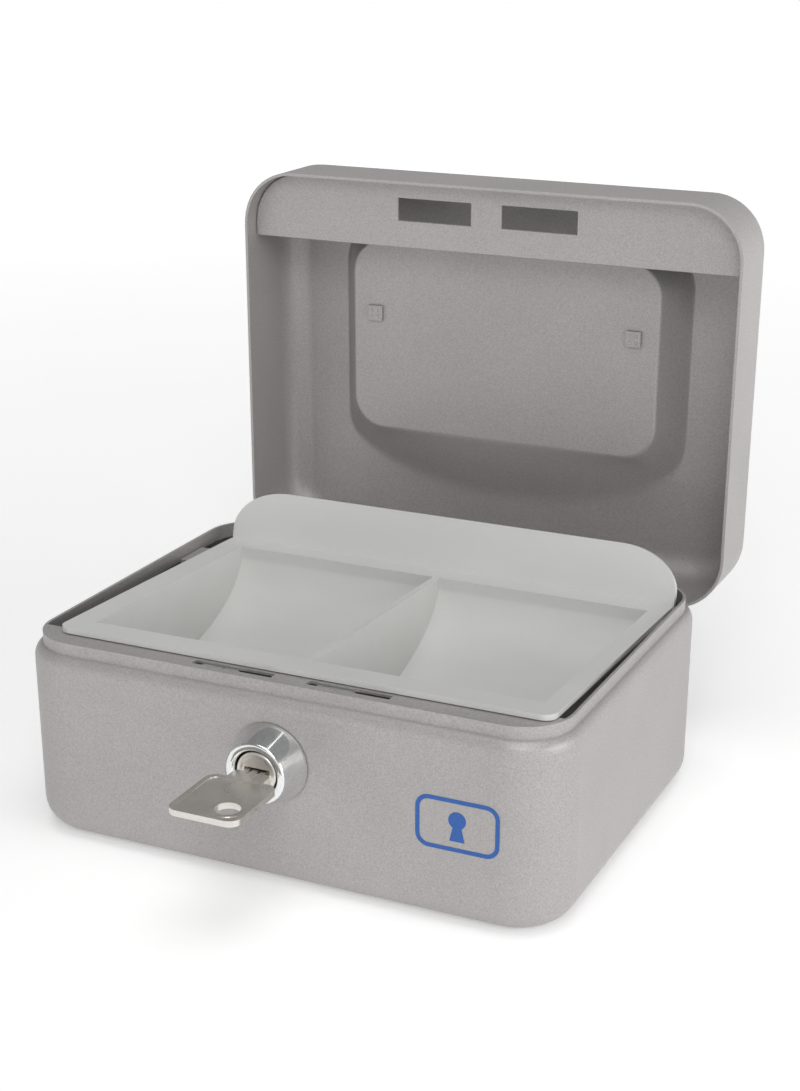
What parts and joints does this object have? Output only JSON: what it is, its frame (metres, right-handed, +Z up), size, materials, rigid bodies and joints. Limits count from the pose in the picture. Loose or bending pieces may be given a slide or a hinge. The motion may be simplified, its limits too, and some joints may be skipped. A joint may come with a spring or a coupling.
{
  "type": "cash box",
  "caption": "Small steel cash box with a hinged lid, a folding carrying handle, a cam lock with hooks and key, and a lift-out coin tray.",
  "frame": {"origin": "centre of the flat underside of the box", "axes": "+Z up, -Y towards the lock and key, +X to the right seen from the front"},
  "size_m": [0.152, 0.1913, 0.1568],
  "materials": {
    "paint": "silver-grey powder coat with a fine texture",
    "plastic": "satin light grey",
    "chrome": "polished",
    "nickel": "nickel-plated",
    "zinc": "zinc-plated",
    "steel": "plain",
    "brass": "plain"
  },
  "bodies": {
    "box": {"box_body": "paint", "tray_rest_left": "paint", "tray_rest_right": "paint", "hinge_leaf_body": "zinc", "hinge_pin": "steel", "lock_housing": "chrome", "lock_nut": "zinc", "lock_cover": "paint"},
    "lid": {"lid_shell": "paint", "lid_latch_flange": "paint", "hinge_leaf_lid": "zinc", "handle_bracket_left": "paint", "handle_bracket_right": "paint"},
    "handle": {"handle_bail": "chrome"},
    "tray": {"coin_tray": "plastic"},
    "plug": {"lock_plug": "chrome", "wafer_1": "brass", "wafer_2": "brass", "wafer_3": "brass", "lock_cam": "steel", "cam_washer": "zinc", "cam_screw": "zinc", "pin_clip": "steel"},
    "key": {"key": "nickel"},
    "hook": {"hook_plate": "zinc"}
  },
  "joints": [
    {"name": "lid_hinge", "type": "hinge", "parent": "box", "child": "lid", "pos_m": [0, 0.0593, 0.04], "axis": [1, 0, 0], "range_deg": [0, 90]},
    {"name": "handle_fold", "type": "hinge", "parent": "lid", "child": "handle", "pos_m": [0, 0.0923, 0.1148], "axis": [1, 0, 0], "range_deg": [0, 90]},
    {"name": "tray_lift", "type": "slide", "parent": "box", "child": "tray", "axis": [0, 0, -1], "range_m": [-0.06, 0]},
    {"name": "lock_turn", "type": "hinge", "parent": "box", "child": "plug", "pos_m": [0, -0.0657, 0.035], "axis": [0, 1, 0], "range_deg": [0, 90]},
    {"name": "key_slide", "type": "slide", "parent": "plug", "child": "key", "axis": [0, -1, 0], "range_m": [0, 0.02]},
    {"name": "hook_lift", "type": "hinge", "parent": "plug", "child": "hook", "pos_m": [-0.008, -0.0511, 0.035], "axis": [0, 1, 0], "range_deg": [-90, 0]}
  ],
  "couplings": [
    {"joint": "hook_lift", "follows": "lock_turn", "ratio": -1}
  ]
}
